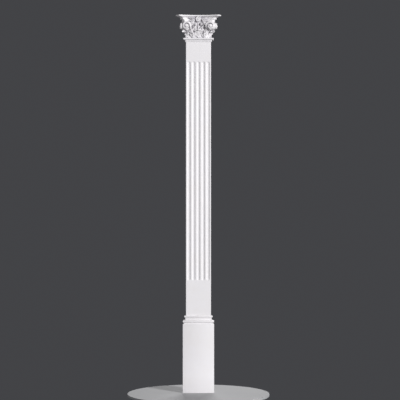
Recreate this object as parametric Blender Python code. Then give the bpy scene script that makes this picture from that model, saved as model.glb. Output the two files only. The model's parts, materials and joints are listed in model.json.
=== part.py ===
"""A wall pilaster of three castings glued to a wall: a base block, a fluted shaft and a leafy capital.

Metres, +Z up. The wall is the plane y = 0 and the pilaster stands out from it towards -Y.
The origin is the middle of the shaft's back.
"""

import math

import bmesh
import bpy
from mathutils import Matrix, Vector

# Shaft: a flat board with stopped flutes
SHAFT_WIDTH = 0.149
SHAFT_DEPTH = 0.020
SHAFT_LENGTH = 1.630
SHAFT_ARRIS = 0.0015
FLUTE_COUNT = 5
FLUTE_PITCH = 0.0285
FLUTE_WIDTH = 0.0204
FLUTE_DEPTH = 0.0044
FLUTE_STOP_TOP = 0.1165
FLUTE_STOP_FOOT = 0.2100
FLUTE_SIDES = 8

# Where one casting meets the next
JOINT_GAP = 0.0003

# Base: a plain block under a torus and a cavetto. Each projection is measured beyond the shaft's sides
BASE_HEIGHT = 0.458
FRONT_SHARE = 0.70
BLOCK_PROJECTION = 0.0185
BLOCK_SHOULDER = 0.005
QUIRK_HEIGHT = 0.0055
QUIRK_DEPTH = 0.0065
TORUS_HEIGHT = 0.0165
TORUS_PROJECTION = 0.0183
SCOTIA_HEIGHT = 0.0180
SCOTIA_PROJECTION = 0.0038
BASE_FILLET_HEIGHT = 0.0070
BASE_FILLET_PROJECTION = 0.0100
MOULDING_STEPS = 6

# Capital: overall sizes, then the plain mouldings of its core
CAPITAL_WIDTH = 0.268
CAPITAL_DEPTH = 0.075
CAPITAL_HEIGHT = 0.156
NECK_HEIGHT = 0.0105
NECK_PROJECTION = 0.0045
ASTRAGAL_HEIGHT = 0.0120
ASTRAGAL_PROJECTION = 0.0168
ASTRAGAL_BAND = 0.0052
BELL_PROJECTION = 0.0030
BELL_CHAMFER = 0.0160
ABACUS_HEIGHT = 0.0255
ABACUS_FASCIA = 0.0074
ABACUS_FILLET = 0.0070
ABACUS_INSET = 0.0260
ABACUS_BOW = 0.025
HORN_CHAMFER = 0.021
EASED_EDGE = 0.0008

# Leaves. LIFT is how far a leaf's foot is above the astragal, PROUD how far in front of the bell, CURL the
# radius that its tip rolls round, and LEAN how far it has come forward where the roll starts. FOLD, NOSE
# and BOW shape the leaf that wraps a corner, as leaf() says
LEAF_THICKNESS = 0.0068
LEAF_ROWS = 3
LOBE_COUNT = 3
CENTRE_LEAF_HEIGHT = 0.050
CENTRE_LEAF_WIDTH = 0.054
CENTRE_LEAF_LEAN = 0.013
CENTRE_LEAF_CURL = 0.0065
CENTRE_LOBE_COUNT = 4
LOW_LEAF_HEIGHT = 0.029
LOW_LEAF_WIDTH = 0.040
LOW_LEAF_LEAN = 0.009
LOW_LEAF_CURL = 0.0050
LOW_LEAF_OFFSET = 0.0335
CORNER_LEAF_HEIGHT = 0.0445
CORNER_LEAF_WIDTH = 0.038
CORNER_LEAF_LEAN = 0.018
CORNER_LEAF_CURL = 0.0094
CORNER_LEAF_FOLD = 0.3
CORNER_LEAF_NOSE = 0.6
CORNER_LEAF_BOW = 4.5
UPPER_LEAF_HEIGHT = 0.034
UPPER_LEAF_WIDTH = 0.030
UPPER_LEAF_LEAN = 0.007
UPPER_LEAF_CURL = 0.0042
UPPER_LEAF_OFFSET = 0.0200
UPPER_LEAF_LIFT = 0.0340
UPPER_LEAF_PROUD = 0.003
UPPER_LEAF_TILT = 3.0
SHEATH_HEIGHT = 0.033
SHEATH_WIDTH = 0.024
SHEATH_LEAN = 0.008
SHEATH_CURL = 0.0042
SHEATH_LOBE_COUNT = 2
SHEATH_OFFSET = 0.0415
SHEATH_LIFT = 0.019
SHEATH_PROUD = 0.004
SHEATH_TILT = 4.0

# Volutes, and the two small helices in the middle. The radius is that of the outer edge. EDGE is how far
# the face stands out at its outer edge, and SWELL how much further its middle comes. ROOT is how far a
# scroll's back lies behind the bell's face, and PROUD how far a stem or a helix stands in front of it
VOLUTE_RADIUS = 0.0308
VOLUTE_OFFSET = 0.0708
VOLUTE_CENTRE = 0.0920
VOLUTE_EDGE = 0.0515
VOLUTE_SWELL = 0.0125
STEM_OFFSET = 0.0465
STEM_LIFT = 0.037
SIDE_VOLUTE_RADIUS = 0.0252
SIDE_VOLUTE_DEPTH = 0.0370
SIDE_VOLUTE_CENTRE = 0.0890
SIDE_VOLUTE_EDGE = 0.0965
SIDE_VOLUTE_SWELL = 0.0160
SIDE_STEM_LIFT = 0.019
HELIX_RADIUS = 0.0120
HELIX_SWELL = 0.0050
SPIRAL_TURNS = 1.5
SPIRAL_SHRINK = 0.49
SPIRAL_WIND = 1.4
SPIRAL_STEPS = 12
BAND_PATH = 0.80
BAND_HALF = 0.215
EYE_SHARE = 0.27
CHANNEL_DEPTH = 0.0022
VOLUTE_GAP = 0.0140
VOLUTE_ROOT = 0.004
STEM_PROUD = 0.006
HELIX_PROUD = 0.012

# Flower in the middle of the abacus, with a spray of fronds on either side. REAR is how far the back of a
# petal or frond lies behind its front. The first and last frond of a spray have the two values in a pair
PETAL_COUNT = 6
FLOWER_TURN = 12.0
FLOWER_RADIUS = 0.0165
FLOWER_CENTRE = 0.1325
FROND_LENGTHS = (0.048, 0.050, 0.044, 0.034)
FROND_WIDTH = 0.0125
FROND_THICKNESS = (0.0085, 0.0075)
FROND_REAR = 0.016
FROND_TURNS = (82.0, 150.0)
FROND_TILT = 10.0
SPRAY_REACH = 0.0240
PETAL_THICKNESS = 0.006
PETAL_REAR = 0.018
PETAL_STEP = 0.0015

WHITE = (0.83, 0.83, 0.84, 1.0)
MIRROR = Matrix.Diagonal((-1.0, 1.0, 1.0, 1.0))


def plaster_material(name):
    """White primed casting, matt."""
    material = bpy.data.materials.new(name)
    material.use_nodes = True
    shader = material.node_tree.nodes["Principled BSDF"]
    shader.inputs["Base Color"].default_value = WHITE
    shader.inputs["Roughness"].default_value = 0.55
    shader.inputs["Metallic"].default_value = 0.0
    return material


def as_object(name, mesh, collection=None):
    """Links a mesh as an object, in the scene or in a collection of its own."""
    obj = bpy.data.objects.new(name, mesh)
    (collection or bpy.context.scene.collection).objects.link(obj)
    return obj


def finish_mesh(name, bm):
    """Turns a bmesh into a mesh of triangles that point out, so that no bent face is left to a Boolean."""
    bmesh.ops.recalc_face_normals(bm, faces=bm.faces)
    bmesh.ops.triangulate(bm, faces=bm.faces)
    mesh = bpy.data.meshes.new(name)
    bm.to_mesh(mesh)
    bm.free()
    return mesh


def loft(name, rings):
    """Closed solid through rings of the same number of points, capped at both ends."""
    bm = bmesh.new()
    rows = [[bm.verts.new(point) for point in ring] for ring in rings]
    count = len(rows[0])
    for lower, upper in zip(rows, rows[1:]):
        for i in range(count):
            j = (i + 1) % count
            bm.faces.new((lower[i], lower[j], upper[j], upper[i]))
    bm.faces.new(rows[0][::-1])
    bm.faces.new(rows[-1])
    return finish_mesh(name, bm)


def slab(name, front, back):
    """Closed solid between two grids of points of the same size."""
    bm = bmesh.new()
    rows, columns = len(front), len(front[0])
    faces_of = []
    for grid in (front, back):
        faces_of.append([[bm.verts.new(point) for point in row] for row in grid])
    for grid in faces_of:
        for i in range(rows - 1):
            for j in range(columns - 1):
                bm.faces.new((grid[i][j], grid[i][j + 1], grid[i + 1][j + 1], grid[i + 1][j]))
    rim = [(0, j) for j in range(columns - 1)]
    rim += [(i, columns - 1) for i in range(rows - 1)]
    rim += [(rows - 1, j) for j in range(columns - 1, 0, -1)]
    rim += [(i, 0) for i in range(rows - 1, 0, -1)]
    for (i, j), (k, l) in zip(rim, rim[1:] + rim[:1]):
        bm.faces.new((faces_of[0][i][j], faces_of[0][k][l], faces_of[1][k][l], faces_of[1][i][j]))
    return finish_mesh(name, bm)


def smooth(low, high, value):
    """0 below low, 1 above high and an S curve between."""
    share = min(max((value - low) / (high - low), 0.0), 1.0)
    return share * share * (3.0 - 2.0 * share)


def mix(a, b, share):
    return a + (b - a) * share


def arc(centre, radii, start, end, steps):
    """Points of an elliptical arc as (projection, height), angles in degrees."""
    points = []
    for i in range(steps + 1):
        angle = math.radians(mix(start, end, i / steps))
        points.append((centre[0] + radii[0] * math.cos(angle), centre[1] + radii[1] * math.sin(angle)))
    return points


def box_ring(projection, height):
    """Plan of a moulding that projects beyond the shaft's front and sides, with its back on the wall."""
    half = SHAFT_WIDTH / 2 + projection
    front = SHAFT_DEPTH + projection * FRONT_SHARE
    corners = ((-half, 0.0), (-half, -front), (half, -front), (half, 0.0))
    return [Vector((x, y, height)) for x, y in corners]


def shaft_board():
    """The board with eased front arrises, before it is fluted."""
    half = SHAFT_WIDTH / 2
    corners = [(-half, 0.0)]
    for side, start in ((-1, 180), (1, 270)):
        centre = (side * (half - SHAFT_ARRIS), -(SHAFT_DEPTH - SHAFT_ARRIS))
        corners += arc(centre, (SHAFT_ARRIS, SHAFT_ARRIS), start, start + 90, 2)
    corners.append((half, 0.0))
    ends = (-SHAFT_LENGTH / 2, SHAFT_LENGTH / 2)
    return loft("shaft", [[Vector((x, y, z)) for x, y in corners] for z in ends])


def flute_cutter(index):
    """One round-ended flute: a shallow trough whose ends run out like the bowl of a spoon."""
    x = (index - (FLUTE_COUNT - 1) / 2) * FLUTE_PITCH
    half = FLUTE_WIDTH / 2
    top = SHAFT_LENGTH / 2 - FLUTE_STOP_TOP - half
    foot = -SHAFT_LENGTH / 2 + FLUTE_STOP_FOOT + half
    radius = (half**2 + FLUTE_DEPTH**2) / (2 * FLUTE_DEPTH)
    centre_y = -SHAFT_DEPTH + FLUTE_DEPTH - radius
    outline = [(half * math.cos(a), foot + half * math.sin(a)) for a in turn(180, 360)]
    outline += [(half * math.cos(a), top + half * math.sin(a)) for a in turn(0, 180)]
    rings = []
    for step in range(FLUTE_SIDES // 2 + 1):
        share = math.cos(math.pi / 2 * step / (FLUTE_SIDES // 2))
        if step == FLUTE_SIDES // 2:
            share = 0.04
        depth = centre_y + math.sqrt(radius**2 - (half * share) ** 2)
        ring = []
        for across, along in outline:
            near = foot if along < foot else top if along > top else along
            ring.append(Vector((x + across * share, depth, near + (along - near) * share)))
        rings.append(ring)
    mouth = [Vector((p.x, -SHAFT_DEPTH - FLUTE_DEPTH, p.z)) for p in rings[0]]
    return loft(f"flute_cutter_{index}", [mouth] + rings)


def turn(start, end):
    """Angles in radians round the end of a flute."""
    return [math.radians(mix(start, end, i / FLUTE_SIDES)) for i in range(FLUTE_SIDES + 1)]


def make_shaft(material):
    """Board with its flutes cut by one Boolean."""
    shaft = as_object("shaft", shaft_board())
    cutters = bpy.data.collections.new("flute_cutters")
    bpy.context.scene.collection.children.link(cutters)
    for index in range(FLUTE_COUNT):
        cutter = as_object(f"flute_cutter_{index}", flute_cutter(index), cutters)
        cutter.hide_render = True
        cutter.display_type = "WIRE"
    cut = shaft.modifiers.new("flutes", "BOOLEAN")
    cut.operation = "DIFFERENCE"
    cut.solver = "EXACT"
    cut.operand_type = "COLLECTION"
    cut.collection = cutters
    shaft.data.materials.append(material)
    return shaft


def base_profile():
    """Moulding profile from the foot up, as (projection, height)."""
    block_top = BASE_HEIGHT - BASE_FILLET_HEIGHT - SCOTIA_HEIGHT - TORUS_HEIGHT - QUIRK_HEIGHT
    quirk = BLOCK_PROJECTION - QUIRK_DEPTH
    profile = [(BLOCK_PROJECTION, 0.0)]
    shoulder = (BLOCK_PROJECTION - BLOCK_SHOULDER, block_top - BLOCK_SHOULDER)
    profile += arc(shoulder, (BLOCK_SHOULDER, BLOCK_SHOULDER), 0, 90, MOULDING_STEPS // 2)
    profile.append((quirk, block_top))
    torus_foot = block_top + QUIRK_HEIGHT
    radius = TORUS_HEIGHT / 2
    torus_centre = (TORUS_PROJECTION - radius, torus_foot + radius)
    foot_angle = -math.degrees(math.acos((quirk - torus_centre[0]) / radius))
    torus = arc(torus_centre, (radius, radius), foot_angle, 90, MOULDING_STEPS * 2)
    profile.append((quirk, torus[0][1] - QUIRK_HEIGHT / 4))
    profile += torus
    scotia_foot = torus[-1][1]
    drop = torus_centre[0] - SCOTIA_PROJECTION
    profile.append((SCOTIA_PROJECTION + drop * 0.18, scotia_foot))
    scotia_top = scotia_foot + SCOTIA_HEIGHT
    reach = BASE_FILLET_PROJECTION - SCOTIA_PROJECTION
    centre = (BASE_FILLET_PROJECTION, scotia_foot + SCOTIA_HEIGHT * 0.3)
    profile += arc(centre, (reach, SCOTIA_HEIGHT * 0.7), 180, 96, 5)
    profile.append((BASE_FILLET_PROJECTION, scotia_top))
    profile.append((BASE_FILLET_PROJECTION, BASE_HEIGHT))
    return profile


def make_base(material):
    """Base block with its mouldings returned on both sides."""
    foot = -SHAFT_LENGTH / 2 - JOINT_GAP - BASE_HEIGHT
    rings = [box_ring(projection, foot + height) for projection, height in base_profile()]
    base = as_object("base", loft("base", rings))
    base.data.materials.append(material)
    return base


def capital_ring(half, front, chamfer, bow, height):
    """Plan of the capital's core: bowed front and sides between chamfered corners, its back on the wall."""
    reach = half - chamfer
    centre = half - front
    points = []
    for i in range(5):
        y = -(front - chamfer) * i / 4
        points.append((-(half - bow * (1 - ((y - centre) / reach) ** 2)), y))
    for i in range(9):
        x = reach * (i / 4 - 1)
        points.append((x, -front + bow * (1 - (x / reach) ** 2)))
    points += [(-x, y) for x, y in points[4::-1]]
    return [Vector((x, y, height)) for x, y in points]


def astragal_top():
    return NECK_HEIGHT + ASTRAGAL_HEIGHT


def abacus_foot():
    return CAPITAL_HEIGHT - ABACUS_HEIGHT


def abacus_plan(inset):
    """Half width, front, chamfer and bow of the abacus, from 0 at its top to 1 at its lower fillet."""
    half = CAPITAL_WIDTH / 2 - ABACUS_INSET * inset
    front = CAPITAL_DEPTH - ABACUS_INSET * 0.76 * inset
    return half, front, HORN_CHAMFER * (1 - 0.2 * inset), ABACUS_BOW * (1 - 0.2 * inset)


def abacus_front(x):
    """How far the abacus stands from the wall at its top edge, x from the middle."""
    half, front, chamfer, bow = abacus_plan(0.0)
    return front - bow * (1 - (x / (half - chamfer)) ** 2)


def bell_plan(share):
    """The same four values for the bell, from 0 at the astragal to 1 under the abacus."""
    lip_half, lip_front, lip_chamfer, lip_bow = abacus_plan(1.0)
    flare = min(share / 0.88, 1.0) ** 2.2
    half = mix(SHAFT_WIDTH / 2 + BELL_PROJECTION, lip_half * 0.91, flare)
    front = mix(SHAFT_DEPTH + BELL_PROJECTION * FRONT_SHARE, lip_front * 0.93, flare)
    return half, front, mix(BELL_CHAMFER, lip_chamfer * 0.9, flare), lip_bow * 0.9 * share**3


def bell_front(height):
    """How far the bell's front stands from the wall in its middle, at a height above the foot."""
    half, front, chamfer, bow = bell_plan((height - astragal_top()) / (abacus_foot() - astragal_top()))
    return front - bow


def capital_core():
    """Neck, astragal, flaring bell and abacus in one loft. Heights run from the capital's foot."""
    half, front = SHAFT_WIDTH / 2, SHAFT_DEPTH
    edge = EASED_EDGE
    plain = [(NECK_PROJECTION, 0.0), (NECK_PROJECTION, NECK_HEIGHT)]
    band_foot = astragal_top() - ASTRAGAL_BAND
    radii = (ASTRAGAL_PROJECTION - NECK_PROJECTION - edge * 2, ASTRAGAL_HEIGHT - ASTRAGAL_BAND - edge)
    plain += arc((NECK_PROJECTION + edge, band_foot), radii, -90, -10, 3)
    plain += [(ASTRAGAL_PROJECTION, band_foot + edge), (ASTRAGAL_PROJECTION, astragal_top() - edge)]
    plain += [(ASTRAGAL_PROJECTION - edge, astragal_top())]
    rings = [capital_ring(half + p, front + p * FRONT_SHARE, edge, 0.0, z) for p, z in plain]
    for share in (0.003, 0.3, 0.55, 0.75, 0.88, 0.98):
        rings.append(capital_ring(*bell_plan(share), mix(astragal_top(), abacus_foot(), share)))
    fascia_foot = CAPITAL_HEIGHT - ABACUS_FASCIA
    levels = [(1.0, abacus_foot()), (1.0, abacus_foot() + ABACUS_FILLET)]
    for share in (0.0, 0.25, 0.5, 0.75, 1.0):
        height = mix(abacus_foot() + ABACUS_FILLET + edge, fascia_foot, share)
        levels.append((mix(1.02, 0.12, share**1.6), height))
    levels += [(0.0, fascia_foot + edge), (0.0, CAPITAL_HEIGHT)]
    rings += [capital_ring(*abacus_plan(inset), z) for inset, z in levels]
    return loft("capital", rings)


def leaf(name, size, place, fold=0.0, nose=1.0, bow=2.0):
    """An acanthus leaf that rises along the bell and rolls its tip outwards.

    size is its height, width, lean, curl and number of lobes. The local frame has x across the leaf,
    -y outwards and z up. The outline is cut into lobes that point upwards. fold bends the two halves
    back from the rib, for a leaf that wraps a corner, nose narrows the tip, and a larger bow keeps the
    leaf upright for longer before it leans out.
    """
    height, width, lean, curl, lobes = size
    rise = height - curl
    length = rise + curl * math.radians(195)
    rows = lobes * LEAF_ROWS
    front, back = [], []
    for i in range(rows + 1):
        share = i / rows
        tip = smooth(rise / length * 0.85, 1.0, share)
        lobe = abs(math.sin(math.pi * lobes * share)) ** 0.6
        taper = math.sqrt(max(1 - max((share - 0.35) / 0.66, 0.0) ** 1.7, 0.015))
        plain = width / 2 * mix(0.70, 1.0, smooth(0.0, 0.3, share)) * taper
        plain *= mix(1.0, nose, smooth(0.5, 0.85, share))
        half = plain * mix(mix(0.58, 1.0, lobe), 1.0, tip * 0.8)
        front_row, back_row = [], []
        for u in (-1.0, -0.5, 0.0, 0.5, 1.0):
            side = abs(u)
            along = length * share * 0.97 + plain * side * (0.35 + smooth(0.0, 0.3, share)) * (1 - share)
            low, turned = min(along, rise), max(along - rise, 0.0) / curl
            roll = curl * (1 - 0.6 * side**2)
            out = lean * (low / rise) ** bow + roll * (1 - math.cos(turned))
            up = low + roll * math.sin(turned)
            relief = 0.95 - 0.75 * side**2 + 0.3 * tip * (1 - side**2)
            relief -= 0.62 * (1 - lobe) * smooth(0.15, 0.6, side) * (1 - tip * 0.7)
            relief += 0.22 * (side == 0.0)
            relief *= LEAF_THICKNESS
            relief = mix(relief, min(relief, roll * 0.7), smooth(rise * 0.75, rise, along))
            bent = fold * mix(1.0, 0.3, smooth(rise * 0.7, rise, along))
            x, drop = u * half * mix(1.0, 0.71, bent), side * half * 0.71 * bent
            free = smooth(rise * 0.55, rise * 0.95, along)
            depth = mix(-LEAF_THICKNESS - out, -LEAF_THICKNESS * 0.45 * (1 - 0.6 * side**2), free)
            depth = min(depth, relief - LEAF_THICKNESS * 0.2)
            for row, amount, spread in ((front_row, relief, 1.0), (back_row, depth, 0.94)):
                y = drop - out - math.cos(turned) * amount
                row.append(Vector((x * spread, y, up - math.sin(turned) * amount)))
        front.append(front_row)
        back.append(back_row)
    mesh = slab(name, front, back)
    mesh.transform(place)
    return mesh


def spiral_path(centre, radius, stem):
    """A stem that climbs to the outside of a scroll, then the scroll itself, wound clockwise.

    Gives points (x, z, band, climb): band is the distance from the eye that sets the width, and climb
    runs from 0 to 1 up the stem."""
    start = Vector((centre[0] - radius, centre[1]))
    foot = Vector(stem)
    above = Vector((mix(foot.x, start.x, 0.1), mix(foot.y, start.y, 0.4)))
    below = Vector((start.x, mix(foot.y, start.y, 0.6)))
    points = []
    steps = SPIRAL_STEPS // 2
    for i in range(steps):
        t = i / steps
        near, far = (1 - t) ** 3, 3 * t * (1 - t) ** 2
        climb = foot * near + above * far + below * 3 * t * t * (1 - t) + start * t**3
        points.append((climb.x, climb.y, radius * mix(0.75, 1.0, t), t))
    for i in range(round(SPIRAL_STEPS * SPIRAL_TURNS) + 1):
        turned = i / SPIRAL_STEPS
        band = radius * SPIRAL_SHRINK ** (turned**SPIRAL_WIND)
        angle = math.pi - 2 * math.pi * turned
        points.append((centre[0] + band * math.cos(angle), centre[1] + band * math.sin(angle), band, 1.0))
    return points


def swell(distance, radius):
    """The round section of a scroll's face: 1 at the eye, 0 at the outer edge."""
    return math.sqrt(max(1 - (distance / radius) ** 2, 0.0))


def scroll(name, centre, radius, stem, depths, rear, place):
    """A channelled band that climbs from its stem and winds into a volute. depths are how far its face
    stands out at the stem's foot and at its outer edge, and how much further it swells at the eye."""
    rings = []
    path = spiral_path(centre, radius * BAND_PATH, stem)
    for i, (x, z, band, climb) in enumerate(path):
        before, after = path[max(i - 1, 0)], path[min(i + 1, len(path) - 1)]
        tangent = Vector((after[0] - before[0], after[1] - before[1])).normalized()
        half = band * BAND_HALF
        groove = CHANNEL_DEPTH * band / radius
        level = mix(depths[0], depths[1], smooth(0.0, 1.0, climb))
        ring = []
        for u, dip in ((-1.0, 0.62), (-0.7, 0.0), (0.0, 1.0), (0.7, 0.0), (1.0, 0.62)):
            px, pz = x - tangent.y * u * half, z + tangent.x * u * half
            away = math.hypot(px - centre[0], pz - centre[1])
            ring.append(Vector((px, groove * dip - level - depths[2] * swell(away, radius * 1.02), pz)))
        ring += [Vector((ring[-1].x, -rear, ring[-1].z)), Vector((ring[0].x, -rear, ring[0].z))]
        rings.append(ring)
    mesh = loft(name, rings)
    mesh.transform(place)
    return mesh


def dome(name, centre, rings, place):
    """A round solid on an axis away from the wall, from rings of (radius, distance from the wall)."""
    sections = []
    for reach, depth in rings:
        ring = []
        for i in range(SPIRAL_STEPS):
            angle = 2 * math.pi * (i + 0.5) / SPIRAL_STEPS
            x, z = centre[0] + reach * math.cos(angle), centre[1] + reach * math.sin(angle)
            ring.append(Vector((x, -depth, z)))
        sections.append(ring)
    mesh = loft(name, sections)
    mesh.transform(place)
    return mesh


def volute(name, centre, radius, stem, depths, rear, place):
    """Scroll with a solid core behind its gap and a round eye. depths are the scroll's."""
    edge, swelling = depths[1:]
    sunk = VOLUTE_GAP * radius / VOLUTE_RADIUS
    core = [(radius * BAND_PATH, rear)]
    for share in (BAND_PATH, 0.62, 0.48, 0.36, EYE_SHARE):
        below = sunk * mix(0.3, 1.0, smooth(0.38, 0.5, share))
        core.append((radius * share, edge + swelling * swell(share, 1.0) - below))
    eye = edge + swelling * swell(EYE_SHARE, 1.0) - CHANNEL_DEPTH * 0.6
    core += [(radius * EYE_SHARE, eye), (radius * EYE_SHARE * 0.6, eye + CHANNEL_DEPTH)]
    return [
        scroll(name, centre, radius, stem, depths, rear, place),
        dome(f"{name}_core", centre, core, place),
    ]


def frond(name, length, width, thick, rear, place):
    """One cupped petal or frond, pointing up in its local frame, with its back rear behind the origin."""
    rings = []
    shape = ((0.0, 0.35, 0.5), (0.3, 0.85, 0.95), (0.62, 1.0, 1.0), (0.86, 0.72, 0.85), (1.0, 0.2, 0.4))
    for share, half, out in shape:
        ring = []
        for u, lift in ((-1.0, 0.2), (-0.5, 1.0), (0.0, 0.55), (0.5, 1.0), (1.0, 0.2)):
            ring.append(Vector((u * half * width / 2, -thick * out * lift, length * share)))
        for u in (1.0, -1.0):
            ring.append(Vector((u * half * width / 2, rear, length * share)))
        rings.append(ring)
    mesh = loft(name, rings)
    mesh.transform(place)
    return mesh


def placed(x, y, z, about_z=0.0, about_y=0.0):
    """Places a local frame at a point of the capital, turned in degrees about +Y and then about +Z."""
    turned = Matrix.Rotation(math.radians(about_z), 4, "Z") @ Matrix.Rotation(math.radians(about_y), 4, "Y")
    return Matrix.Translation((x, y, z)) @ turned


def leaf_foot():
    """A leaf's foot dips a little into the astragal."""
    return astragal_top() - 0.001


def on_bell(x, lift, proud, tilt):
    """A place at a lift above the leaves' foot, a little in front of the bell."""
    height = leaf_foot() + lift
    return placed(x, -bell_front(height) - proud, height, 0, tilt)


def right_leaves():
    """The leaves on the right of the middle: low, corner, upper and the sheath that a volute springs from."""
    half, front = SHAFT_WIDTH / 2 + BELL_PROJECTION, SHAFT_DEPTH + BELL_PROJECTION * FRONT_SHARE
    low = (LOW_LEAF_HEIGHT, LOW_LEAF_WIDTH, LOW_LEAF_LEAN, LOW_LEAF_CURL, LOBE_COUNT)
    corner = (CORNER_LEAF_HEIGHT, CORNER_LEAF_WIDTH, CORNER_LEAF_LEAN, CORNER_LEAF_CURL, LOBE_COUNT)
    upper = (UPPER_LEAF_HEIGHT, UPPER_LEAF_WIDTH, UPPER_LEAF_LEAN, UPPER_LEAF_CURL, LOBE_COUNT)
    sheath = (SHEATH_HEIGHT, SHEATH_WIDTH, SHEATH_LEAN, SHEATH_CURL, SHEATH_LOBE_COUNT)
    corner_place = placed(half - BELL_CHAMFER / 2, BELL_CHAMFER / 2 - front, leaf_foot(), 45)
    upper_place = on_bell(UPPER_LEAF_OFFSET, UPPER_LEAF_LIFT, UPPER_LEAF_PROUD, UPPER_LEAF_TILT)
    return [
        leaf("low_leaf", low, placed(LOW_LEAF_OFFSET, -front, leaf_foot())),
        leaf("corner_leaf", corner, corner_place, CORNER_LEAF_FOLD, CORNER_LEAF_NOSE, CORNER_LEAF_BOW),
        leaf("upper_leaf", upper, upper_place),
        leaf("sheath", sheath, on_bell(SHEATH_OFFSET, SHEATH_LIFT, SHEATH_PROUD, SHEATH_TILT)),
    ]


def right_carving():
    """The leaves, volutes and fronds on the right of the middle."""
    half, front = SHAFT_WIDTH / 2 + BELL_PROJECTION, SHAFT_DEPTH + BELL_PROJECTION * FRONT_SHARE
    meshes = right_leaves()
    eye = (VOLUTE_OFFSET, VOLUTE_CENTRE)
    stem = (STEM_OFFSET, leaf_foot() + STEM_LIFT)
    depths = (bell_front(stem[1]) + STEM_PROUD, VOLUTE_EDGE, VOLUTE_SWELL)
    meshes += volute("front_volute", eye, VOLUTE_RADIUS, stem, depths, front - VOLUTE_ROOT, Matrix())
    side_eye = (SIDE_VOLUTE_DEPTH, SIDE_VOLUTE_CENTRE)
    side_stem = (side_eye[0] - SIDE_VOLUTE_RADIUS * 0.85, leaf_foot() + SIDE_STEM_LIFT)
    side_depths = (half + 0.005, SIDE_VOLUTE_EDGE, SIDE_VOLUTE_SWELL)
    turned = Matrix.Rotation(math.radians(90), 4, "Z") @ MIRROR
    side_root = half - VOLUTE_ROOT
    meshes += volute("side_volute", side_eye, SIDE_VOLUTE_RADIUS, side_stem, side_depths, side_root, turned)
    helix_eye = (-HELIX_RADIUS * 1.5, FLOWER_CENTRE - FLOWER_RADIUS - HELIX_RADIUS * 0.95)
    helix_stem = (SHEATH_OFFSET * -0.85, stem[1] + 0.002)
    helix_depths = (bell_front(helix_stem[1]) + STEM_PROUD, bell_front(helix_eye[1]) + HELIX_PROUD, HELIX_SWELL)
    meshes += volute("helix", helix_eye, HELIX_RADIUS, helix_stem, helix_depths, front - 0.003, MIRROR)
    last = len(FROND_LENGTHS) - 1
    for i, length in enumerate(FROND_LENGTHS):
        x = mix(FLOWER_RADIUS * 0.85, SPRAY_REACH, i / last)
        z = FLOWER_CENTRE + FLOWER_RADIUS * mix(0.10, -0.45, i / last)
        place = placed(x, -abacus_front(x) + 0.003, z, FROND_TILT, mix(*FROND_TURNS, i / last))
        thick = mix(*FROND_THICKNESS, i / last)
        meshes.append(frond(f"frond_{i}", length, FROND_WIDTH, thick, FROND_REAR, place))
    return meshes


def middle_carving():
    """The middle leaf, the stalk above it and the flower."""
    front = SHAFT_DEPTH + BELL_PROJECTION * FRONT_SHARE
    size = (CENTRE_LEAF_HEIGHT, CENTRE_LEAF_WIDTH, CENTRE_LEAF_LEAN, CENTRE_LEAF_CURL, CENTRE_LOBE_COUNT)
    meshes = [leaf("centre_leaf", size, placed(0.0, -front, leaf_foot()))]
    stalk_foot = leaf_foot() + CENTRE_LEAF_HEIGHT - 0.003
    stalk_place = placed(0.0, -bell_front(stalk_foot) - 0.007, stalk_foot)
    meshes.append(frond("stalk", FLOWER_CENTRE - stalk_foot, FLOWER_RADIUS * 0.9, 0.006, 0.012, stalk_place))
    face = abacus_front(0.0)
    for i in range(PETAL_COUNT):
        angle = 360 / PETAL_COUNT * (i + 0.5) + FLOWER_TURN
        place = placed(0.0, -face + PETAL_STEP * (i % 2), FLOWER_CENTRE, 0, angle)
        width = 2.2 * FLOWER_RADIUS * math.sin(math.pi / PETAL_COUNT)
        meshes.append(frond(f"petal_{i}", FLOWER_RADIUS, width, PETAL_THICKNESS, PETAL_REAR, place))
    boss = ((0.4, face - 0.012), (0.4, face + 0.002), (0.34, face + 0.006), (0.18, face + 0.008))
    boss = [(FLOWER_RADIUS * reach, depth) for reach, depth in boss]
    meshes.append(dome("boss", (0.0, FLOWER_CENTRE), boss, Matrix()))
    return meshes


def capital_carving():
    """Every leaf, volute and frond, as closed solids that overlap the core."""
    meshes = middle_carving()
    for mesh in right_carving():
        other = mesh.copy()
        other.transform(MIRROR)
        other.name = f"{mesh.name}_left"
        meshes += [mesh, other]
    return meshes


def make_capital(material):
    """Core and carving joined by one Boolean union."""
    lift = Matrix.Translation((0.0, 0.0, SHAFT_LENGTH / 2 + JOINT_GAP))
    core = capital_core()
    core.transform(lift)
    capital = as_object("capital", core)
    carving = bpy.data.collections.new("capital_carving")
    bpy.context.scene.collection.children.link(carving)
    for mesh in capital_carving():
        bm = bmesh.new()
        bm.from_mesh(mesh)
        bm.transform(lift)
        for vert in bm.verts:
            vert.co.y = min(vert.co.y, -JOINT_GAP)
        piece = as_object(mesh.name, finish_mesh(mesh.name, bm), carving)
        piece.hide_render = True
        piece.display_type = "WIRE"
    union = capital.modifiers.new("carving", "BOOLEAN")
    union.operation = "UNION"
    union.solver = "MANIFOLD"
    union.operand_type = "COLLECTION"
    union.collection = carving
    capital.data.materials.append(material)
    return capital


def main():
    for obj in list(bpy.data.objects):
        bpy.data.objects.remove(obj, do_unlink=True)
    make_base(plaster_material("base_plaster"))
    make_shaft(plaster_material("shaft_plaster"))
    make_capital(plaster_material("capital_plaster"))


main()
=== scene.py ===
# %% [markdown]
# # A wall pilaster in three castings
#
# A pilaster is a column pressed flat: it decorates a wall and carries nothing. This one is sold as
# three white foam castings, a base block, a fluted shaft and a leafy capital, glued up one above the
# other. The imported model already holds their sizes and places. Here each casting is made again in
# finer form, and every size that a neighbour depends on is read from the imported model.

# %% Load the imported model
import json
import math

import bmesh
import bpy
import numpy as np
from mathutils import Matrix, Vector
from mathutils.bvhtree import BVHTree

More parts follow.
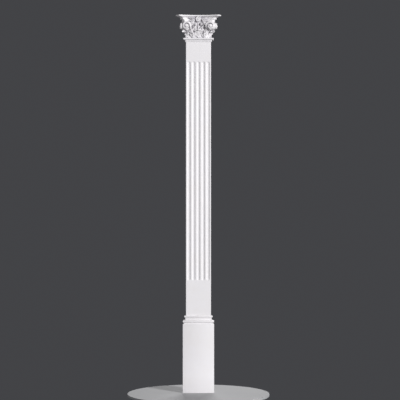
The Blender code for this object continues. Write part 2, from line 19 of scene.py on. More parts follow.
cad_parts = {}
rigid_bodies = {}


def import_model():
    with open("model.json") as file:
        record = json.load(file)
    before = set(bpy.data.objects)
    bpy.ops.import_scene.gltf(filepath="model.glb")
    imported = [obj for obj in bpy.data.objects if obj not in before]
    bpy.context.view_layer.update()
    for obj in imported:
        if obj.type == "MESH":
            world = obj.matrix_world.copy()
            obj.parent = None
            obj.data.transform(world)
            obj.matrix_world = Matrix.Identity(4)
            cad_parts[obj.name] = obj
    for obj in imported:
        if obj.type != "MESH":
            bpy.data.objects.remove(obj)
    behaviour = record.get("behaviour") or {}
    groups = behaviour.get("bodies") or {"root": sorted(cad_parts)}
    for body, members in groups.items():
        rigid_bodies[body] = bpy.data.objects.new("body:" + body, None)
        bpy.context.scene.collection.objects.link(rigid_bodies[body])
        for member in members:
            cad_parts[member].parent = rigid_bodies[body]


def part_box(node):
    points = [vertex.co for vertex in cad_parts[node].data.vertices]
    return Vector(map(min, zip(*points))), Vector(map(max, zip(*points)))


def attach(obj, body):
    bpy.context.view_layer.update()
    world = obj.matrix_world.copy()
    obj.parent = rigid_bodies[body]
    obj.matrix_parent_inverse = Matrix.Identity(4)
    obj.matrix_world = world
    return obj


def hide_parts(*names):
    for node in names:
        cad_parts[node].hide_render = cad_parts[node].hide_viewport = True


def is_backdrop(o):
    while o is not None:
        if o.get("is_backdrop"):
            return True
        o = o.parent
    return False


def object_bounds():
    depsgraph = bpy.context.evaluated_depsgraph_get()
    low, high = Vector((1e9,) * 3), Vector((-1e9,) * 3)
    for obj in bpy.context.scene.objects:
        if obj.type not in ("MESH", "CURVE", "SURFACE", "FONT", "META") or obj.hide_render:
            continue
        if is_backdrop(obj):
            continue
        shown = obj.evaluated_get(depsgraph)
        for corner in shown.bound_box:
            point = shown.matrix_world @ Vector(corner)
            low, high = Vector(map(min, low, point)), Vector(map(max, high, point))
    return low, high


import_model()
cad_low, cad_high = (list(corner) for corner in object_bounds())
print("the packed model spans", [round(h - l, 4) for l, h in zip(cad_low, cad_high)], "m")

# %% [markdown]
# ## Sizes of the three castings
#
# The wall is the plane y = 0 and the pilaster stands out of it towards -Y, so a casting's depth is
# its lowest y with the sign turned.

# %% Read the boxes
shaft_low, shaft_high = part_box("shaft")
base_low, base_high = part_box("base")
capital_low, capital_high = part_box("capital")
SHAFT_HALF = shaft_high[0]
SHAFT_DEPTH = -shaft_low[1]
BASE_HEIGHT = base_high[2] - base_low[2]
CAPITAL_FOOT = capital_low[2]
CAPITAL_HEIGHT = capital_high[2] - capital_low[2]
CAPITAL_HALF = capital_high[0]
CAPITAL_DEPTH = -capital_low[1]

# %% [markdown]
# ## Small helpers
#
# `mix` goes from one value to another and `smooth` is an S curve between two limits. Both take
# numbers or whole arrays, because the carved pieces are worked out as grids of points.


# %% Curves of numbers
def mix(a, b, share):
    return a + (b - a) * share


def smooth(low, high, value):
    share = np.clip((value - low) / (high - low), 0.0, 1.0)
    return share * share * (3.0 - 2.0 * share)


def bump(centre, width, value):
    """A soft hill of height 1 round a centre."""
    return np.exp(-(((value - centre) / width) ** 2))


def arc(centre, radii, start, end, steps):
    """Points of an elliptical arc, with its angles in degrees."""
    angles = np.radians(np.linspace(start, end, steps + 1))
    return [(centre[0] + radii[0] * math.cos(a), centre[1] + radii[1] * math.sin(a)) for a in angles]


# %% [markdown]
# ## Closed shapes from rows of points
#
# Nearly every piece here is one of two things. A loft runs through rings of points and is capped at
# both ends, as a moulding is. A shell has a carved front and a plain back that share a rim, as a leaf
# does. Both come out closed, so that they can be joined into one casting later.


# %% Lofts and shells
def closed_mesh(name, points, faces):
    mesh = bpy.data.meshes.new(name)
    mesh.from_pydata([tuple(p) for p in points], [], faces)
    bm = bmesh.new()
    bm.from_mesh(mesh)
    bmesh.ops.recalc_face_normals(bm, faces=bm.faces)
    bm.to_mesh(mesh)
    bm.free()
    return mesh


def loft(name, rings):
    rings = np.asarray(rings, dtype=float)
    rows, count = rings.shape[:2]
    faces = []
    for i in range(rows - 1):
        for j in range(count):
            k = (j + 1) % count
            faces.append((i * count + j, i * count + k, (i + 1) * count + k, (i + 1) * count + j))
    faces.append(tuple(reversed(range(count))))
    faces.append(tuple(range((rows - 1) * count, rows * count)))
    return closed_mesh(name, rings.reshape(-1, 3), faces)


def shell(name, front, back):
    rows, columns = front.shape[:2]
    size = rows * columns
    faces = []
    for i in range(rows - 1):
        for j in range(columns - 1):
            a, b = i * columns + j, (i + 1) * columns + j
            faces.append((a, a + 1, b + 1, b))
            faces.append((size + a, size + b, size + b + 1, size + a + 1))
    rim = list(range(columns))
    rim += [i * columns + columns - 1 for i in range(1, rows)]
    rim += [(rows - 1) * columns + j for j in range(columns - 2, -1, -1)]
    rim += [i * columns for i in range(rows - 2, 0, -1)]
    for a, b in zip(rim, rim[1:] + rim[:1]):
        faces.append((a, b, size + b, size + a))
    return closed_mesh(name, np.concatenate([front.reshape(-1, 3), back.reshape(-1, 3)]), faces)


def add(name, mesh, angle=40):
    """Links a mesh as an object, shaded smooth except over edges sharper than the angle."""
    obj = bpy.data.objects.new(name, mesh)
    bpy.context.scene.collection.objects.link(obj)
    mesh.shade_smooth()
    mesh.set_sharp_from_angle(angle=math.radians(angle))
    return obj


# %% [markdown]
# ## Node maths as ordinary Python
#
# A procedural finish or a Geometry Nodes rule is mostly sums. `Wire` wraps a node's output, so that
# `1 - mask * 0.3` adds the Math nodes by itself. The same class serves the material and the geometry
# trees. Any node that isn't a sum comes from `Tree.node`.


# %% One class for sums, one for trees
class Wire:
    def __init__(self, tree, socket):
        self.tree, self.socket = tree, socket

    def sum_with(self, operation, *values):
        return self.tree.node("ShaderNodeMath", {"operation": operation}, dict(enumerate(values)))

    def __add__(self, other):
        return self.sum_with("ADD", self, other)

    def __sub__(self, other):
        return self.sum_with("SUBTRACT", self, other)

    def __rsub__(self, other):
        return self.sum_with("SUBTRACT", other, self)

    def __mul__(self, other):
        return self.sum_with("MULTIPLY", self, other)

    def __truediv__(self, other):
        return self.sum_with("DIVIDE", self, other)

    def __pow__(self, other):
        return self.sum_with("POWER", self, other)

    __radd__ = __add__
    __rmul__ = __mul__

    def at_most(self, other):
        return self.sum_with("MINIMUM", self, other)

    def at_least(self, other):
        return self.sum_with("MAXIMUM", self, other)

    def root(self):
        return self.sum_with("SQRT", self)

    def whole(self):
        return self.sum_with("ROUND", self)


class Tree:
    def __init__(self, tree):
        self.tree = tree

    def node(self, kind, settings=None, inputs=None, output=0):
        """Adds a node, applies its settings first, then sets or links its sockets."""
        made = self.tree.nodes.new(kind)
        for key, value in (settings or {}).items():
            if key == "stops":
                while len(made.color_ramp.elements) < len(value):
                    made.color_ramp.elements.new(0.5)
                for element, (position, grey) in zip(made.color_ramp.elements, value):
                    element.position, element.color = position, (grey, grey, grey, 1.0)
            else:
                setattr(made, key, value)
        for key, value in (inputs or {}).items():
            if isinstance(value, Wire):
                self.tree.links.new(value.socket, made.inputs[key])
            else:
                made.inputs[key].default_value = value
        return Wire(self, made.outputs[output])


print("node helpers ready")

# %% [markdown]
# ## The finish
#
# Moulded polyurethane foam comes out of its mould with a thin white primer on it. It is matt with a
# faint sheen. Close up it shows a fine orange peel, a few pinholes where bubbles met the mould, long
# shallow waves left by the mould's own surface, and slightly warmer and cooler patches of primer.
# All of it reads Object coordinates in metres, so a pattern has its real scale on every casting.
# `seed` slides the pattern, so that no two castings match. `WARM` and `PINHOLE` are shares of the
# primer's own colour for warmer patches and pinholes. A third share is painted shade that darkens the
# hollows of the carving. They are mixed in one after the other. A number called `shelter`, which is
# worked out once the capital is made, tells where those hollows are.


# %% Primed foam, as nodes
# The third colour is painted shade: the darker colour that the hollows of the carving are painted.
WARM, PINHOLE, HOLLOW_SHADE = (0.985, 0.975, 0.955), (0.86, 0.86, 0.85), (0.57, 0.56, 0.60)


def primed_foam(name, seed, tint):
    material = bpy.data.materials.new(name)
    material.use_nodes = True
    shader = material.node_tree.nodes["Principled BSDF"]
    tree = Tree(material.node_tree)
    coordinates = tree.node("ShaderNodeTexCoord", output="Object")
    slide = (seed, seed * 0.7, seed * 1.3)
    place = tree.node("ShaderNodeMapping", {}, {"Vector": coordinates, "Location": slide})

    def noise(scale, detail, roughness=0.5):
        values = {"Vector": place, "Scale": scale, "Detail": detail, "Roughness": roughness}
        return tree.node("ShaderNodeTexNoise", {}, values)

    patches = noise(9.0, 3.0)
    mottle = noise(120.0, 4.0, 0.6)
    peel = noise(900.0, 2.0, 0.55)
    waves = noise(14.0, 1.0)
    cells = tree.node("ShaderNodeTexVoronoi", {}, {"Vector": place, "Scale": 95.0})
    pinholes = tree.node("ShaderNodeValToRGB", {"stops": ((0.0, 1.0), (0.045, 0.0))}, {"Fac": cells})
    shade = patches * 0.55 + mottle * 0.45
    mask = tree.node("ShaderNodeValToRGB", {"stops": ((0.35, 0.0), (0.68, 1.0))}, {"Fac": shade})
    # Painted shade: the sheltered hollows of the carving are painted darker, where shadow falls.
    hollow = tree.node("ShaderNodeAttribute", {"attribute_name": "shelter"}, output=2)
    shade_amount = hollow + (mottle - 0.5) * 0.2
    painted_shade = tree.node("ShaderNodeValToRGB", {"stops": ((0.22, 0.0), (0.85, 1.0))}, {"Fac": shade_amount})
    colour = (*tint, 1.0)
    for share, shade_by in ((mask, WARM), (pinholes * 0.5, PINHOLE), (painted_shade, HOLLOW_SHADE)):
        darker = (*(t * s for t, s in zip(tint, shade_by)), 1.0)
        colour = tree.node("ShaderNodeMix", {"data_type": "RGBA"}, {0: share, 6: colour, 7: darker}, 2)
    material.node_tree.links.new(colour.socket, shader.inputs["Base Color"])
    gloss = 0.46 + mottle * 0.10 + patches * 0.06
    material.node_tree.links.new(gloss.socket, shader.inputs["Roughness"])
    height = waves * 0.0011 + mottle * 0.00006 + peel * 0.00002 - pinholes * 0.0002
    relief = tree.node("ShaderNodeBump", {}, {"Height": height, "Strength": 0.8, "Distance": 1.0})
    material.node_tree.links.new(relief.socket, shader.inputs["Normal"])
    shader.inputs["Specular IOR Level"].default_value = 0.42
    return material


WHITE = (0.815, 0.798, 0.825)
foam = {
    "base": primed_foam("base_primed_foam", 3.1, WHITE),
    "shaft": primed_foam("shaft_primed_foam", 7.7, WHITE),
    "capital": primed_foam("capital_primed_foam", 12.3, WHITE),
}
print("finishes:", ", ".join(m.name for m in foam.values()))

# %% [markdown]
# ## The shaft
#
# On a real pilaster the shaft is a board with shallow channels, called flutes, that stop short of both
# ends and leave only narrow fillets between them. They follow a rule: a flute every so many
# millimetres, each the same round trough, each end rounded like the tip of a spoon. One way is to cut
# them with Boolean solids, but the arrises between trough and board would come out knife sharp, and a
# cast arris is soft. So the board is a fine mesh whose front is pushed in by a Geometry Nodes rule.
# The mesh only has points where the rule bends.

# %% A board with points where the flutes will be
FLUTE_COUNT = 5
FLUTE_PITCH = 0.0285
FLUTE_HALF = 0.0102
FLUTE_DEPTH = 0.0044
PLAIN_TOP, PLAIN_FOOT = 0.1165, 0.2100
FLUTE_TOP = shaft_high[2] - PLAIN_TOP - FLUTE_HALF
FLUTE_FOOT = shaft_low[2] + PLAIN_FOOT + FLUTE_HALF
ARRIS = 0.0016
steps = np.array([0.0, 0.25, 0.45, 0.62, 0.75, 0.85, 0.92, 0.97, 1.0, 1.04, 1.1, 1.2])
offsets = np.unique(np.concatenate([-steps, steps])) * FLUTE_HALF
middles = [(i - (FLUTE_COUNT - 1) / 2) * FLUTE_PITCH for i in range(FLUTE_COUNT)]
columns = [middle + offset for middle in middles for offset in offsets]
section = [(-SHAFT_HALF, 0.0)]
section += arc((-SHAFT_HALF + ARRIS, -SHAFT_DEPTH + ARRIS), (ARRIS, ARRIS), 180, 270, 5)
section += [(x, -SHAFT_DEPTH) for x in columns]
section += arc((SHAFT_HALF - ARRIS, -SHAFT_DEPTH + ARRIS), (ARRIS, ARRIS), 270, 360, 5)
section.append((SHAFT_HALF, 0.0))
ends = [shaft_low[2], shaft_low[2] + 0.0006, shaft_high[2] - 0.0006, shaft_high[2]]
stops = [FLUTE_FOOT - steps * FLUTE_HALF, FLUTE_TOP + steps * FLUTE_HALF]
between = [np.linspace(FLUTE_FOOT, FLUTE_TOP, 25), np.linspace(shaft_low[2], FLUTE_FOOT - 0.02, 5)]
levels = np.unique(np.concatenate([ends, *stops, *between]).round(6))
shaft = add("shaft_casting", loft("shaft_casting", [[(x, y, z) for x, y in section] for z in levels]))
print("board:", len(section), "points round,", len(levels), "levels")

# %% [markdown]
# The rule itself. Rounding x to the nearest multiple of the pitch gives the nearest flute's middle,
# which is how one sum makes any number of flutes. The distance to the middle line, counted past the
# stops as well, is r. A circular arc through the trough's bottom and both its edges turns r into a
# depth, and a square root softens the corner where the depth reaches zero.


# %% Flutes as a Geometry Nodes rule
def group_with(name, inputs):
    """An empty geometry group with a mesh in, a mesh out and named number inputs."""
    group = bpy.data.node_groups.new(name, "GeometryNodeTree")
    group.interface.new_socket("Mesh", in_out="INPUT", socket_type="NodeSocketGeometry")
    group.interface.new_socket("Mesh", in_out="OUTPUT", socket_type="NodeSocketGeometry")
    for label, kind in inputs.items():
        group.interface.new_socket(label, in_out="INPUT", socket_type=kind)
    tree = Tree(group)
    entry = group.nodes.new("NodeGroupInput")
    wires = {socket.name: Wire(tree, socket) for socket in entry.outputs if socket.name}
    return group, tree, wires


def end_group(tree, mesh, material):
    """Realises instances, sets the finish and joins the group's output."""
    real = tree.node("GeometryNodeRealizeInstances", {}, {"Geometry": mesh})
    painted = tree.node("GeometryNodeSetMaterial", {}, {"Geometry": real, "Material": material})
    leave = tree.tree.nodes.new("NodeGroupOutput")
    tree.tree.links.new(painted.socket, leave.inputs[0])


def bake(obj, group, values):
    """Runs the group on the object with these input values and keeps the result as a plain mesh."""
    modifier = obj.modifiers.new(group.name, "NODES")
    modifier.node_group = group
    for item in group.interface.items_tree:
        if item.name in values and item.in_out == "INPUT":
            modifier[item.identifier] = values[item.name]
    graph = bpy.context.evaluated_depsgraph_get()
    mesh = bpy.data.meshes.new_from_object(obj.evaluated_get(graph))
    obj.modifiers.remove(modifier)
    obj.data = mesh
    return obj


SOFTNESS = 0.0000003
labels = ("Count", "Pitch", "Half width", "Depth", "Foot", "Top", "Board")
group, tree, wire = group_with("flutes", {label: "NodeSocketFloat" for label in labels})
place = tree.node("GeometryNodeInputPosition")
parts = tree.tree.nodes.new("ShaderNodeSeparateXYZ")
tree.tree.links.new(place.socket, parts.inputs[0])
x, y, z = (Wire(tree, parts.outputs[i]) for i in range(3))
limit = (wire["Count"] - 1) / 2
nearest = (x / wire["Pitch"]).whole().at_most(limit).at_least(limit * -1) * wire["Pitch"]
beyond = (z - wire["Top"]).at_least(wire["Foot"] - z).at_least(0.0)
r = ((x - nearest) ** 2 + beyond**2).root()
curve = (wire["Half width"] ** 2 + wire["Depth"] ** 2) / (wire["Depth"] * 2)
sag = (curve**2 - r.at_most(wire["Half width"] * 1.25) ** 2).root() - (curve - wire["Depth"])
soft = (sag + (sag**2 + SOFTNESS).root()) / 2
front = y.sum_with("LESS_THAN", y, wire["Board"] * -1 + 0.00001)
inside = r.sum_with("LESS_THAN", r, wire["Half width"] * 1.25)
depth = soft * front * inside
offset = tree.node("ShaderNodeCombineXYZ", {}, {"Y": depth})
moved = tree.node("GeometryNodeSetPosition", {}, {"Geometry": wire["Mesh"], "Offset": offset})
end_group(tree, moved, foam["shaft"])
sizes = (float(FLUTE_COUNT), FLUTE_PITCH, FLUTE_HALF, FLUTE_DEPTH, FLUTE_FOOT, FLUTE_TOP, SHAFT_DEPTH)
bake(shaft, group, dict(zip(labels, sizes)))
shaft.data.set_sharp_from_angle(angle=math.radians(50))
print("shaft:", len(shaft.data.polygons), "faces, flutes", round((FLUTE_TOP - FLUTE_FOOT) * 1000), "mm long")

# %% [markdown]
# ## The base
#
# The base is one casting: a tall plain block, then a thin shadow gap, a half-round torus, and a hollow
# that dies into the shaft under a small fillet. A moulding is a profile carried round three sides of
# the piece. The profile is drawn once as (projection, height) pairs, and each pair becomes a
# rectangle whose back stays on the wall. In front the mouldings project less than at the sides.

# %% Base mouldings from one profile
BLOCK_OUT = base_high[0] - SHAFT_HALF
FRONT_SHARE = (-base_low[1] - SHAFT_DEPTH) / BLOCK_OUT


def moulding_ring(projection, height, round_by=0.0006):
    """A rectangle on the wall with eased front corners, at one height."""
    half, front = SHAFT_HALF + projection, SHAFT_DEPTH + projection * FRONT_SHARE
    ring = [(-half, 0.0)]
    ring += arc((-half + round_by, -front + round_by), (round_by, round_by), 180, 270, 3)
    ring += arc((half - round_by, -front + round_by), (round_by, round_by), 270, 360, 3)
    ring.append((half, 0.0))
    return [(x, y, height) for x, y in ring]


fillet, scotia, torus, quirk = 0.0070, 0.0180, 0.0165, 0.0055
block_top = BASE_HEIGHT - fillet - scotia - torus - quirk
inner = BLOCK_OUT - 0.0065
profile = [(BLOCK_OUT - 0.0008, 0.0), (BLOCK_OUT - 0.0002, 0.0003), (BLOCK_OUT, 0.0010)]
profile += [(BLOCK_OUT, block_top * share) for share in (0.25, 0.5, 0.75)]
profile += arc((BLOCK_OUT - 0.005, block_top - 0.005), (0.005, 0.005), 0, 88, 10)
profile += [(inner + 0.0006, block_top), (inner, block_top + 0.0006)]
radius = torus / 2
middle = (BLOCK_OUT - 0.0002 - radius, block_top + quirk + radius)
start = -math.degrees(math.acos((inner - middle[0]) / radius))
round_part = arc(middle, (radius, radius), start, 88, 22)
profile.append((inner, round_part[0][1] - 0.0012))
profile += round_part
hollow_in, fillet_out = 0.0038, 0.0100
profile.append((hollow_in + (middle[0] - hollow_in) * 0.18, round_part[-1][1] + 0.0001))
reach = fillet_out - hollow_in
profile += arc((fillet_out, round_part[-1][1] + scotia * 0.3), (reach, scotia * 0.7), 180, 94, 12)
top = BASE_HEIGHT - 0.0008
fillet_foot = BASE_HEIGHT - fillet
profile += [(fillet_out - 0.0001, fillet_foot), (fillet_out, fillet_foot + 0.0005)]
profile += [(fillet_out, top), (fillet_out - 0.0006, BASE_HEIGHT)]
base = add("base_casting", loft("base_casting", [moulding_ring(p, base_low[2] + h) for p, h in profile]), 35)
base.data.materials.append(foam["base"])
print("base:", len(profile), "levels in the profile, block", round(block_top * 1000), "mm high")

# %% [markdown]
# ## The capital
#
# The capital is one casting too, but a rich one. Its bare body is a bell that flares from the shaft's
# size to a hollow-sided slab, the abacus, whose corners reach out as horns. Leaves, scrolls and a
# flower grow on the bell. Here the body is a loft, and everything carved is a closed shape that dips
# into it. At the end a Boolean union melts them together, as the mould does.
#
# Heights are measured from the capital's own foot, and the finished mesh is lifted to its place.

# %% Sizes of the capital's mouldings
NECK_TOP, NECK_OUT = 0.0105, 0.0045
ASTRAGAL_TOP, ASTRAGAL_OUT = 0.0225, 0.0168
BELL_OUT, BELL_CHAMFER = 0.0030, 0.016
BELL_HALF, BELL_FRONT = SHAFT_HALF + BELL_OUT, SHAFT_DEPTH + BELL_OUT * FRONT_SHARE
ABACUS_FOOT = CAPITAL_HEIGHT - 0.0255
FASCIA_FOOT = CAPITAL_HEIGHT - 0.0074
ABACUS_INSET, ABACUS_BOW, HORN_CHAMFER = 0.026, 0.025, 0.021


def abacus_plan(inset):
    """Half width, front, chamfer and bow of the abacus, from 0 at its top to 1 at its lower fillet."""
    shrink = 1 - 0.2 * inset
    half, front = CAPITAL_HALF - ABACUS_INSET * inset, CAPITAL_DEPTH - ABACUS_INSET * 0.76 * inset
    return half, front, HORN_CHAMFER * shrink, ABACUS_BOW * shrink


def abacus_front(x):
    """How far the abacus stands from the wall at its top edge."""
    half, front, chamfer, bow = abacus_plan(0.0)
    return front - bow * (1 - (x / (half - chamfer)) ** 2)


def bell_plan(share):
    """The same four values for the bell, from 0 at the astragal to 1 under the abacus."""
    lip_half, lip_front, lip_chamfer, lip_bow = abacus_plan(1.0)
    flare = min(share / 0.88, 1.0) ** 2.2
    half = mix(BELL_HALF, lip_half * 0.91, flare)
    front = mix(BELL_FRONT, lip_front * 0.93, flare)
    return half, front, mix(BELL_CHAMFER, lip_chamfer * 0.9, flare), lip_bow * 0.9 * share**3


def bell_front(height):
    half, front, chamfer, bow = bell_plan((height - ASTRAGAL_TOP) / (ABACUS_FOOT - ASTRAGAL_TOP))
    return front - bow


# %% [markdown]
# A level of the body is seen from above as a line with a bowed front and bowed sides that meet in
# small chamfers. Every corner is eased by a short arc, because a mould can't make a sharp one. The
# front of the abacus is hollow, and two thin ribs run round in that hollow.


# %% The body of the capital
def eased(corners, radius):
    """The same outline with an arc of three points at each corner, except the two on the wall."""
    line = [corners[0]]
    for before, corner, after in zip(corners, corners[1:], corners[2:]):
        p, q, s = Vector(before), Vector(corner), Vector(after)
        cut = min(radius, (p - q).length * 0.4, (s - q).length * 0.4)
        a, b = q + (p - q).normalized() * cut, q + (s - q).normalized() * cut
        line += [tuple(a), tuple((a + b + q * 2) / 4), tuple(b)]
    return line + [corners[-1]]


def plan_ring(half, front, chamfer, bow, height):
    reach, centre = half - chamfer, half - front
    side = [-(front - chamfer) * i / 8 for i in range(9)]
    line = [(-(half - bow * (1 - ((y - centre) / reach) ** 2)), y) for y in side]
    line += [(x, -front + bow * (1 - (x / reach) ** 2)) for x in np.linspace(-reach, reach, 33)]
    line += [(-x, y) for x, y in line[8::-1]]
    return [(x, y, height) for x, y in eased(line, 0.0012)]


def body_rings():
    rings = []
    for out, height in [
        (NECK_OUT - 0.0006, 0.0),
        (NECK_OUT, 0.0006),
        (NECK_OUT, NECK_TOP - 0.0004),
        (NECK_OUT + 0.0004, NECK_TOP),
        *arc((NECK_OUT + 0.0010, ASTRAGAL_TOP - 0.0062), (0.0108, 0.0052), -90, -10, 8),
        *arc((ASTRAGAL_OUT - 0.0010, ASTRAGAL_TOP - 0.0048), (0.0010, 0.0010), -60, 0, 4),
        *arc((ASTRAGAL_OUT - 0.0016, ASTRAGAL_TOP - 0.0016), (0.0016, 0.0016), 0, 90, 6),
    ]:
        half, front = SHAFT_HALF + out, SHAFT_DEPTH + out * FRONT_SHARE
        rings.append(plan_ring(half, front, 0.0016, 0.0, height))
    for share in np.linspace(0.003, 0.98, 18):
        rings.append(plan_ring(*bell_plan(share), mix(ASTRAGAL_TOP, ABACUS_FOOT, share)))
    levels = [(1.06, ABACUS_FOOT), (1.0, ABACUS_FOOT + 0.0008)]
    levels += [(1.0, ABACUS_FOOT + 0.0062), (1.03, ABACUS_FOOT + 0.007)]
    for t in np.linspace(0, 1, 31):
        ribs = 0.05 * (bump(0.30, 0.07, t) + bump(0.66, 0.07, t))
        height = mix(ABACUS_FOOT + 0.0076, FASCIA_FOOT - 0.0002, t)
        levels.append((mix(1.02, 0.12, t**1.6) - ribs, height))
    levels += [(0.02, FASCIA_FOOT + 0.0002), (0.0, FASCIA_FOOT + 0.0010)]
    levels += [(0.0, CAPITAL_HEIGHT - 0.0010), (0.012, CAPITAL_HEIGHT - 0.0003), (0.04, CAPITAL_HEIGHT)]
    return rings + [plan_ring(*abacus_plan(inset), height) for inset, height in levels]


body = loft("capital_body", body_rings())
print("body of the capital:", len(body.polygons), "faces")

# %% [markdown]
# ## Acanthus leaves
#
# An acanthus leaf hugs the bell, then its tip rolls forward. Its edge is cut into lobes that point
# upwards, and each lobe into small teeth. A ridge runs up the middle between two channels, deep
# valleys part the lobes, and a drilled eye sits where two lobes meet.
#
# It could be sculpted by hand, but then each leaf would need it again. Here a leaf is a grid: `v`
# runs from foot to tip and `u` across. The outline and the relief are sums of waves in u and v, and
# the roll of the tip is an arc that the grid is bent round. Other heights and lobe counts then give
# all nine leaves: one in the middle, and on each side a low one, a corner one, an upper one and the
# sheath that a volute springs from. `fold` bends the halves back from the ridge for the corner, `nose`
# narrows the tip, and a larger `bow` keeps the leaf upright for longer before it leans out.


# %% A leaf from waves
def leaf(name, height, width, lean, curl, lobes, fold=0.0, nose=1.0, bow=2.0, thick=0.0068):
    """Foot at the origin, x across, -y outwards and z up. lean and curl shape the tip's roll."""
    rise = height - curl
    length = rise + curl * math.radians(195)
    v = np.linspace(0, 1, lobes * 24 + 1)[:, None]
    u = np.linspace(-1, 1, 35)[None, :]
    side = np.abs(u)
    tip = smooth(rise / length * 0.85, 1.0, v)
    lobe = np.abs(np.sin(np.pi * lobes * v)) ** 0.6
    tooth = np.abs(np.sin(np.pi * lobes * 3 * v)) ** 0.7
    taper = np.sqrt(np.maximum(1 - np.maximum((v - 0.35) / 0.66, 0.0) ** 1.7, 0.015))
    plain = width / 2 * mix(0.70, 1.0, smooth(0.0, 0.3, v)) * mix(1.0, nose, smooth(0.5, 0.85, v)) * taper
    half = plain * mix(mix(0.58, 1.0, lobe), 1.0, tip * 0.8) * mix(mix(0.9, 1.0, tooth), 1.0, tip * 0.6)
    along = length * v * 0.97 + plain * side * (0.35 + smooth(0.0, 0.3, v)) * (1 - v)
    turned = np.maximum(along - rise, 0.0) / curl
    low = np.minimum(along, rise)
    roll = curl * (1 - 0.6 * side**2)
    out = lean * (low / rise) ** bow + roll * (1 - np.cos(turned))
    up = low + roll * np.sin(turned)
    relief = thick * (0.95 - 0.75 * side**2 + 0.3 * tip * (1 - side**2)) + 0 * v
    relief += thick * 0.35 * smooth(0.6, 1.0, side) * lobe * (1 - tip)
    relief -= thick * 0.62 * (1 - lobe) * smooth(0.15, 0.6, side) * (1 - tip * 0.7)
    relief -= thick * 0.2 * (1 - tooth) * smooth(0.45, 0.9, side) * (1 - tip)
    relief -= thick * 0.42 * bump(0.21, 0.09, side) * (1 - tip * 0.6)
    relief += thick * 0.22 * bump(0.0, 0.1, side)
    relief -= thick * 0.8 * bump(0.5, 0.13, side) * (1 - lobe) ** 3 * smooth(0.04, 0.15, v) * (1 - tip)
    relief = mix(relief, np.minimum(relief, roll * 0.7), smooth(rise * 0.75, rise, along))
    bent = fold * mix(1.0, 0.3, smooth(rise * 0.7, rise, along))
    x = u * half * mix(1.0, 0.71, bent)
    drop = side * half * 0.71 * bent
    free = smooth(rise * 0.55, rise * 0.95, along)
    depth = mix(-thick - out, -thick * 0.45 * (1 - 0.6 * side**2), free)
    depth = np.minimum(depth, relief - thick * 0.2)
    grids = []
    for amount, spread in ((relief, 1.0), (depth, 0.94)):
        y = drop - out - np.cos(turned) * amount
        grids.append(np.stack(np.broadcast_arrays(x * spread, y, up - np.sin(turned) * amount), axis=-1))
    return shell(name, *grids)


def placed(x, y, z, about_z=0.0, about_y=0.0):
    turned = Matrix.Rotation(math.radians(about_z), 4, "Z") @ Matrix.Rotation(math.radians(about_y), 4, "Y")
    return Matrix.Translation((x, y, z)) @ turned


MIRROR = Matrix.Diagonal((-1.0, 1.0, 1.0, 1.0))
carved = []


def carve(mesh, place, pair=True):
    """Puts a shape in place and, for a pair, its mirror image on the other side."""
    mesh.transform(place)
    if place.determinant() < 0:
        mesh.flip_normals()
    carved.append(mesh)
    if pair:
        twin = mesh.copy()
        twin.transform(MIRROR)
        twin.flip_normals()
        carved.append(twin)


def on_bell(x, height, proud, tilt):
    """A place a little in front of the bell, for a shape that springs from between the leaves."""
    return placed(x, -bell_front(height) - proud, height, 0, tilt)


# %% Nine leaves
LEAF_FOOT = ASTRAGAL_TOP - 0.001
mesh = leaf("centre_leaf", height=0.050, width=0.054, lean=0.013, curl=0.0065, lobes=4)
carve(mesh, placed(0.0, -BELL_FRONT, LEAF_FOOT), pair=False)
mesh = leaf("low_leaf", height=0.029, width=0.040, lean=0.009, curl=0.0050, lobes=3)
carve(mesh, placed(0.0335, -BELL_FRONT, LEAF_FOOT))
corner = placed(BELL_HALF - BELL_CHAMFER / 2, BELL_CHAMFER / 2 - BELL_FRONT, LEAF_FOOT, 45)
bend = {"fold": 0.3, "nose": 0.60, "bow": 4.5}
mesh = leaf("corner_leaf", height=0.0445, width=0.038, lean=0.018, curl=0.0094, lobes=3, **bend)
carve(mesh, corner)
mesh = leaf("sheath", height=0.033, width=0.024, lean=0.008, curl=0.0042, lobes=2)
carve(mesh, on_bell(0.0415, LEAF_FOOT + 0.020, proud=0.004, tilt=4))
mesh = leaf("upper_leaf", height=0.034, width=0.030, lean=0.007, curl=0.0042, lobes=3)
carve(mesh, on_bell(0.0200, LEAF_FOOT + 0.0340, proud=0.003, tilt=3))
print("leaves:", len(carved), "with", len(carved[0].polygons), "faces in the middle one")

# %% [markdown]
# ## Volutes
#
# A volute is a band that climbs out of the leaves on a stem and winds up under a horn. Four large ones
# meet in pairs at the corners, one facing front and one facing the side, and two small ones, the
# helices, meet under the flower. In each the band makes one and a half turns round a large eye. A
# logarithmic spiral shrinks its radius by the same share, `SHRINK`, in every turn. Here the turns are
# first raised to the power `WIND`, so that the band keeps its width at first and closes in quickly at
# the end. The band has two rims and a channel, a deeper groove is left between its turns, and the
# whole scroll swells forward to its eye.


# %% A spiral path
TURNS, SHRINK, WIND = 1.5, 0.49, 1.4
PATH, BAND = 0.80, 0.215


def spiral(centre, radius, stem, fine=40):
    """Points (x, z), the band's radius there, and the climb from 0 to 1 up the stem."""
    start, foot = np.array([centre[0] - radius, centre[1]]), np.array(stem)
    above = np.array([mix(foot[0], start[0], 0.1), mix(foot[1], start[1], 0.4)])
    below = np.array([start[0], mix(foot[1], start[1], 0.6)])
    t = np.linspace(0, 1, 22)[:-1, None]
    near, far = (1 - t) ** 3, t**3
    climb = foot * near + above * 3 * t * (1 - t) ** 2 + below * 3 * t * t * (1 - t) + start * far
    turned = np.linspace(0, TURNS, int(fine * TURNS) + 1)
    band = radius * SHRINK ** (turned**WIND)
    angle = np.pi - 2 * np.pi * turned
    wound = np.stack([centre[0] + band * np.cos(angle), centre[1] + band * np.sin(angle)], axis=1)
    ones, t = np.ones_like(turned), t[:, 0]
    return (
        np.concatenate([climb, wound]),
        np.concatenate([radius * mix(0.75, 1.0, t), band]),
        np.concatenate([t, ones]),
    )


